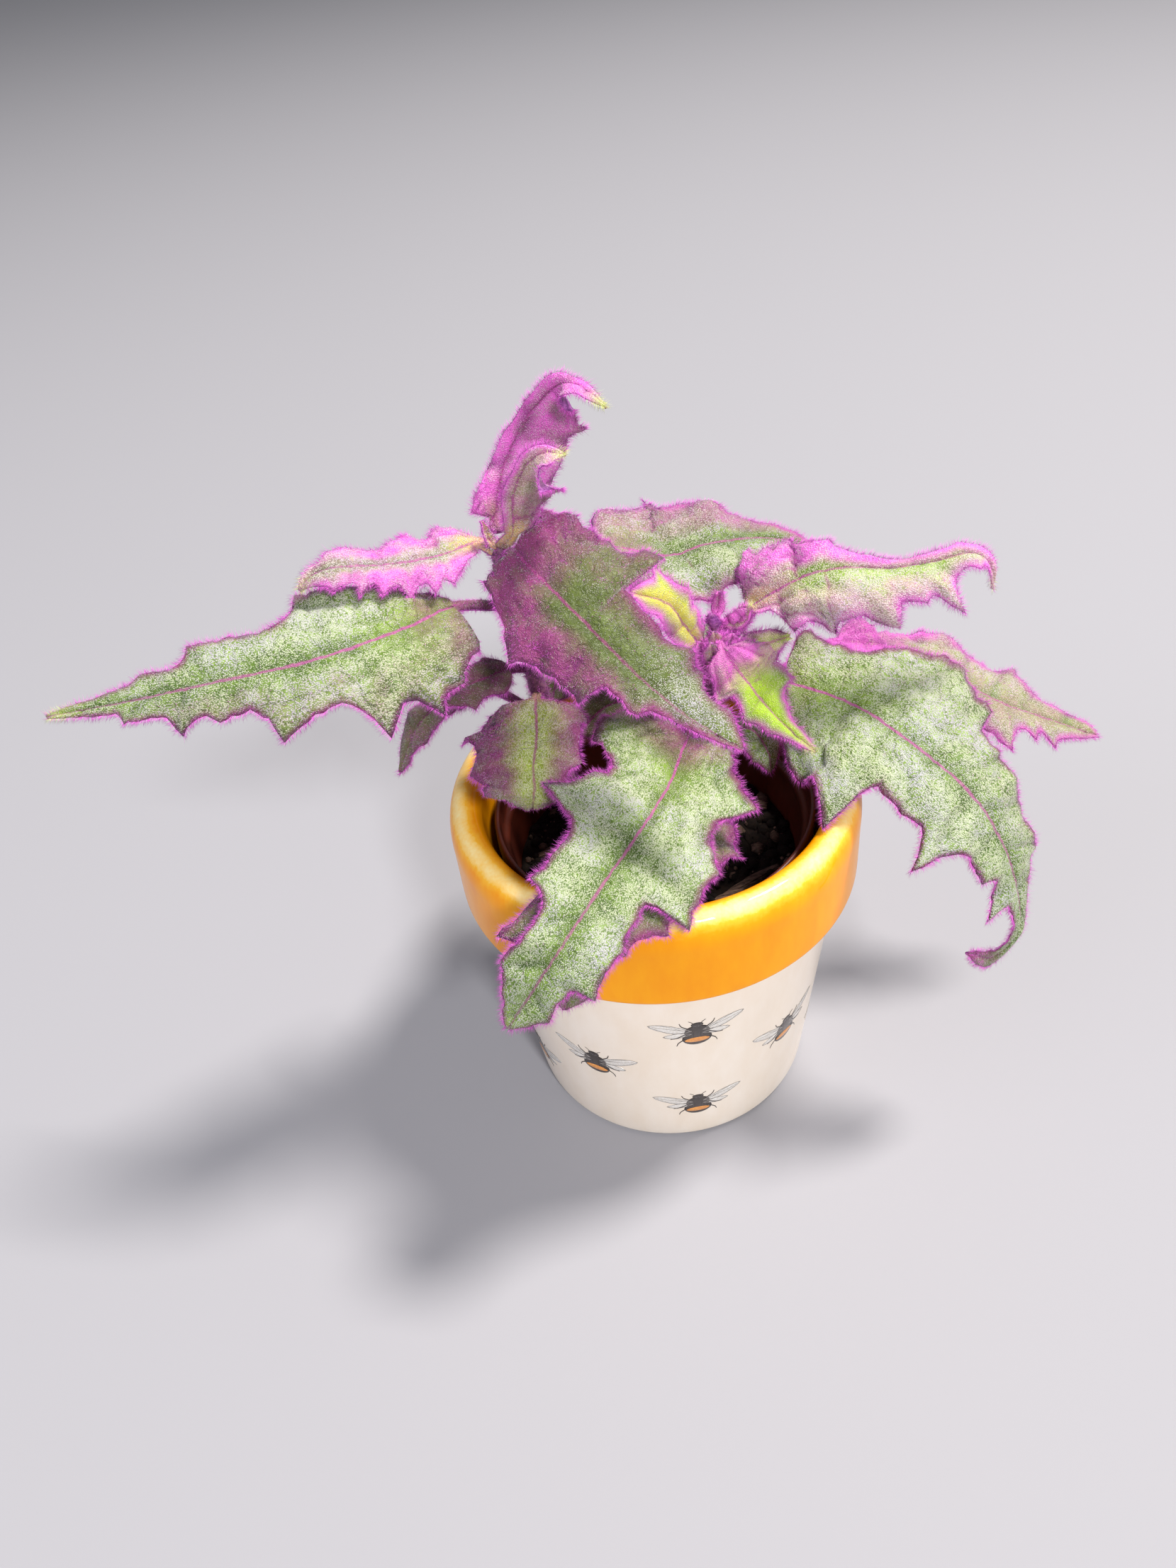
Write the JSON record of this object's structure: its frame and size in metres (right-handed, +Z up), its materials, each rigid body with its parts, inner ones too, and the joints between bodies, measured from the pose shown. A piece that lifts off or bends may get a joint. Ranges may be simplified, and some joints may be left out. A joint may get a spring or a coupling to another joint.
{
  "type": "potted purple passion plant",
  "caption": "Purple passion plant: soft stems with toothed, velvety, purple-haired leaves, rooted in a plastic nursery pot that stands inside a glazed ceramic pot.",
  "frame": {"origin": "centre of the ceramic pot's flat base, where it stands", "axes": "+Z up along the pot's axis; +X towards the long side leaves on the picture's right; +Y away from the picture's camera"},
  "size_m": [0.2762, 0.1446, 0.2123],
  "materials": {
    "pot_glaze": "gloss",
    "nursery_plastic": "satin",
    "potting_soil": "matte",
    "stem_skin": "matte",
    "hairy_leaf": "matte",
    "young_leaf": "matte"
  },
  "bodies": {
    "root": {"pot": "pot_glaze", "nursery_pot": "nursery_plastic", "soil": "potting_soil", "stem_left": "stem_skin", "stem_right": "stem_skin", "leaf_back_centre": "hairy_leaf", "leaf_back_left": "hairy_leaf", "leaf_back_right": "hairy_leaf", "leaf_centre": "hairy_leaf", "leaf_far_right": "hairy_leaf", "leaf_front": "hairy_leaf", "leaf_inner_back": "hairy_leaf", "leaf_inner_left": "hairy_leaf", "leaf_left_rim": "hairy_leaf", "leaf_long_left": "hairy_leaf", "leaf_low_left": "hairy_leaf", "leaf_low_right": "hairy_leaf", "leaf_right": "hairy_leaf", "leaf_top": "young_leaf", "leaf_top_small": "young_leaf", "leaf_under_front": "hairy_leaf", "leaf_upper_left": "young_leaf", "leaf_upper_right": "young_leaf", "leaf_young_green": "hairy_leaf", "leaf_young_yellow": "hairy_leaf"}
  },
  "joints": []
}
